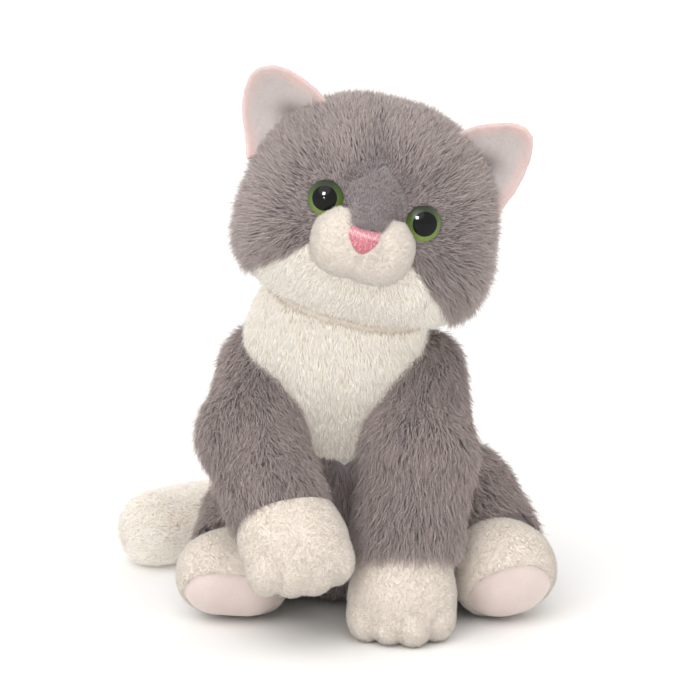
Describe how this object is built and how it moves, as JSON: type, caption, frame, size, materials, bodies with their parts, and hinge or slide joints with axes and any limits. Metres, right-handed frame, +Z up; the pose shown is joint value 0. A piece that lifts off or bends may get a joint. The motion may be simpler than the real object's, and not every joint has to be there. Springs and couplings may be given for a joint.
{
  "type": "plush cat",
  "caption": "Seated plush kitten with long grey pile, white chest, muzzle, paws and tail tip, safety eyes and movable head, limbs and tail.",
  "frame": {"origin": "on the flat seat the toy rests on, 14 mm in front of the middle of that face", "axes": "+Z up, the kitten faces -Y, +X is the kitten's own left"},
  "size_m": [0.1962, 0.1827, 0.2396],
  "materials": {
    "grey_pile": "long soft pile, lighter tips",
    "grey_short_pile": "short pile",
    "white_pile": "medium soft pile",
    "white_short_plush": "short dense plush",
    "sole_suede": "brushed suede cloth",
    "ear_velour": "velour with a pink airbrushed rim",
    "fibre_stuffing": "loose polyester fibre",
    "eye_green": "clear-coated green",
    "eye_black": "clear-coated black",
    "washer_plastic": "moulded",
    "nose_thread": "satin-stitch embroidery"
  },
  "bodies": {
    "trunk": {"trunk_left_panel": "grey_pile", "trunk_right_panel": "grey_pile", "chest_panel": "white_pile", "seat_panel": "grey_pile", "trunk_stuffing": "fibre_stuffing"},
    "neck": {"neck_stuffing": "fibre_stuffing"},
    "head": {"head_left_panel": "grey_pile", "head_right_panel": "grey_pile", "chin_cheek_panel": "white_pile", "nose_bridge_panel": "grey_short_pile", "muzzle_panel": "white_short_plush", "muzzle_stuffing": "fibre_stuffing", "head_stuffing": "fibre_stuffing", "nose_patch": "nose_thread", "left_eye_iris": "eye_green", "left_eye_pupil": "eye_black", "left_eye_washer": "washer_plastic", "right_eye_iris": "eye_green", "right_eye_pupil": "eye_black", "right_eye_washer": "washer_plastic", "left_ear_back": "grey_pile", "left_ear_lining": "ear_velour", "right_ear_back": "grey_pile", "right_ear_lining": "ear_velour"},
    "right_arm": {"right_arm_sleeve": "grey_pile", "right_arm_paw": "white_short_plush", "right_arm_stuffing": "fibre_stuffing"},
    "left_arm": {"left_arm_sleeve": "grey_pile", "left_arm_paw": "white_short_plush", "left_arm_stuffing": "fibre_stuffing"},
    "right_leg": {"right_leg_thigh": "grey_pile", "right_leg_foot": "white_short_plush", "right_leg_sole": "sole_suede", "right_leg_stuffing": "fibre_stuffing"},
    "left_leg": {"left_leg_thigh": "grey_pile", "left_leg_foot": "white_short_plush", "left_leg_sole": "sole_suede", "left_leg_stuffing": "fibre_stuffing"},
    "tail": {"tail_base": "grey_pile", "tail_tip": "white_pile", "tail_stuffing": "fibre_stuffing"}
  },
  "joints": [
    {"name": "head_turn", "type": "hinge", "parent": "trunk", "child": "neck", "pos_m": [0, -0.003, 0.1325], "axis": [0, 0, 1], "range_deg": [-30, 30]},
    {"name": "head_tilt", "type": "hinge", "parent": "neck", "child": "head", "pos_m": [0, -0.003, 0.1325], "axis": [0, 1, 0], "range_deg": [-25, 5], "stiffness_Nm_per_rad": 0.4},
    {"name": "right_arm_swing", "type": "hinge", "parent": "trunk", "child": "right_arm", "pos_m": [-0.035, -0.002, 0.105], "axis": [-1, 0, 0], "range_deg": [0, 45]},
    {"name": "left_arm_swing", "type": "hinge", "parent": "trunk", "child": "left_arm", "pos_m": [0.033, -0.005, 0.103], "axis": [-1, 0, 0], "range_deg": [0, 45]},
    {"name": "right_leg_splay", "type": "hinge", "parent": "trunk", "child": "right_leg", "pos_m": [-0.037, 0.014, 0.0285], "axis": [0, 0, -1], "range_deg": [0, 22]},
    {"name": "left_leg_splay", "type": "hinge", "parent": "trunk", "child": "left_leg", "pos_m": [0.047, 0.012, 0.0365], "axis": [0, 0, 1], "range_deg": [0, 22]},
    {"name": "tail_swing", "type": "hinge", "parent": "trunk", "child": "tail", "pos_m": [0.009, 0.0585, 0.0172], "axis": [0, 0, -1], "range_deg": [0, 55]}
  ]
}
